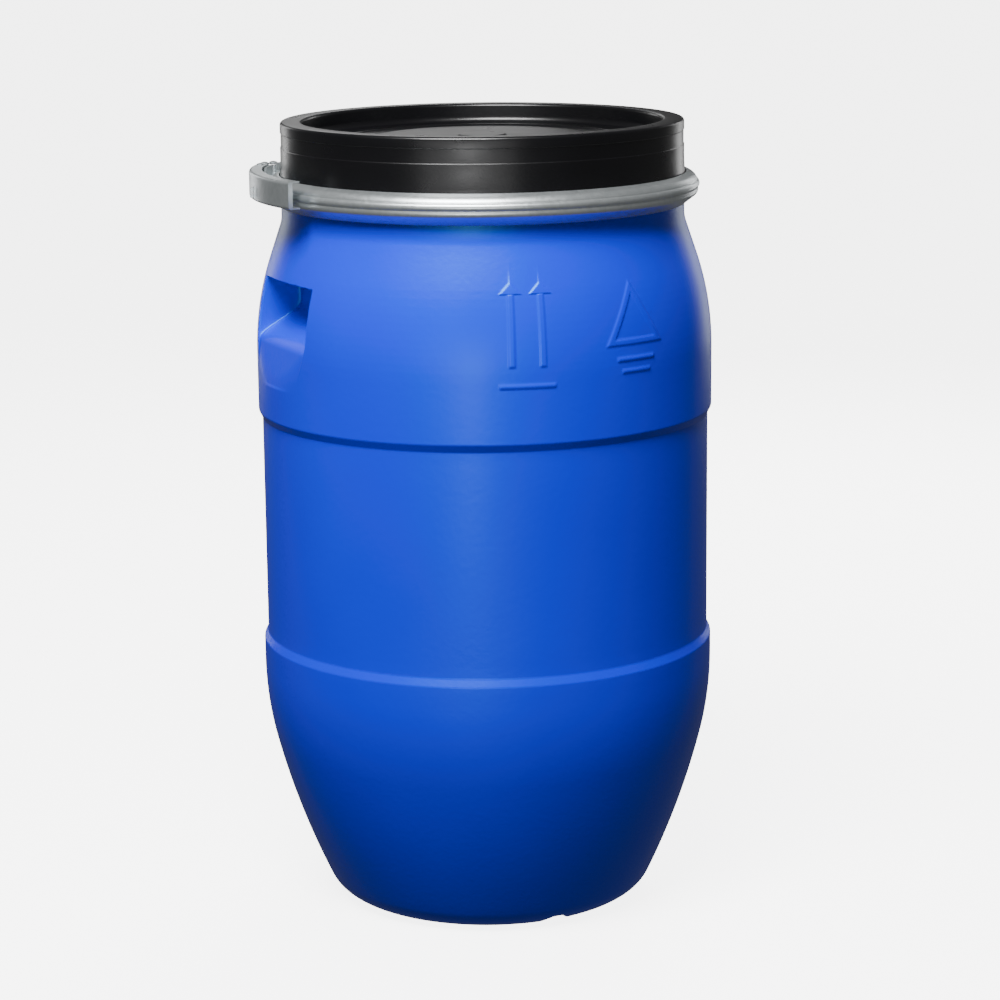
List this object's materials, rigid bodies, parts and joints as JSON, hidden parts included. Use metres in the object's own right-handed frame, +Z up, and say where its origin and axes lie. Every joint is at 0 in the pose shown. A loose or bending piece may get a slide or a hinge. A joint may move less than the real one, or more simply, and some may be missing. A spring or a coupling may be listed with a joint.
{
  "type": "open head drum",
  "caption": "Tapered plastic open head drum with a high-rimmed lid, held by a sprung steel closing ring with a lever lock.",
  "frame": {"origin": "centre of the foot, on the surface that the drum stands on", "axes": "+Z up along the drum's axis; the hand grips face -X and +X; the mould parting line with the foot's notch and the middle of the moulded marks' side is at -Y"},
  "size_m": [0.4823, 0.4786, 0.8305],
  "materials": {
    "blue_plastic": "satin moulded",
    "black_plastic": "satin moulded",
    "gasket_rubber": "matt",
    "galvanised_steel": "zinc coated",
    "pin_steel": "zinc plated"
  },
  "bodies": {
    "drum": {"drum_body": "blue_plastic"},
    "lid": {"lid": "black_plastic", "gasket": "gasket_rubber"},
    "ring_front": {"ring_band_front": "galvanised_steel", "fulcrum_bracket": "galvanised_steel", "bracket_rivets_front": "pin_steel", "lever_pin": "pin_steel", "seal_lug": "galvanised_steel"},
    "ring_back": {"ring_band_back": "galvanised_steel", "link_bracket": "galvanised_steel", "bracket_rivets_back": "pin_steel", "anchor_pin": "pin_steel"},
    "lever": {"lever": "galvanised_steel", "link_pin": "pin_steel"},
    "link": {"link": "galvanised_steel"}
  },
  "joints": [
    {"name": "lid_lift", "type": "slide", "parent": "drum", "child": "lid", "axis": [0, 0, 1], "range_m": [0, 0.3]},
    {"name": "ring_lift", "type": "slide", "parent": "lid", "child": "ring_front", "axis": [0, 0, 1], "range_m": [0, 0.24]},
    {"name": "ring_flex", "type": "hinge", "parent": "ring_front", "child": "ring_back", "pos_m": [0.17602, -0.14254, 0.7682], "axis": [0, 0, -1], "range_deg": [0, 3.21]},
    {"name": "lever_throw", "type": "hinge", "parent": "ring_front", "child": "lever", "pos_m": [-0.19051, 0.13497, 0.7682], "axis": [0, 0, -1], "range_deg": [0, 150]},
    {"name": "link_swing", "type": "hinge", "parent": "lever", "child": "link", "pos_m": [-0.19933, 0.12409, 0.7682], "axis": [0, 0, -1], "range_deg": [-139.03, 0]}
  ],
  "couplings": [
    {"joint": "ring_flex", "follows": "lever_throw", "ratio": 0.021053},
    {"joint": "link_swing", "follows": "lever_throw", "ratio": -0.92553}
  ]
}
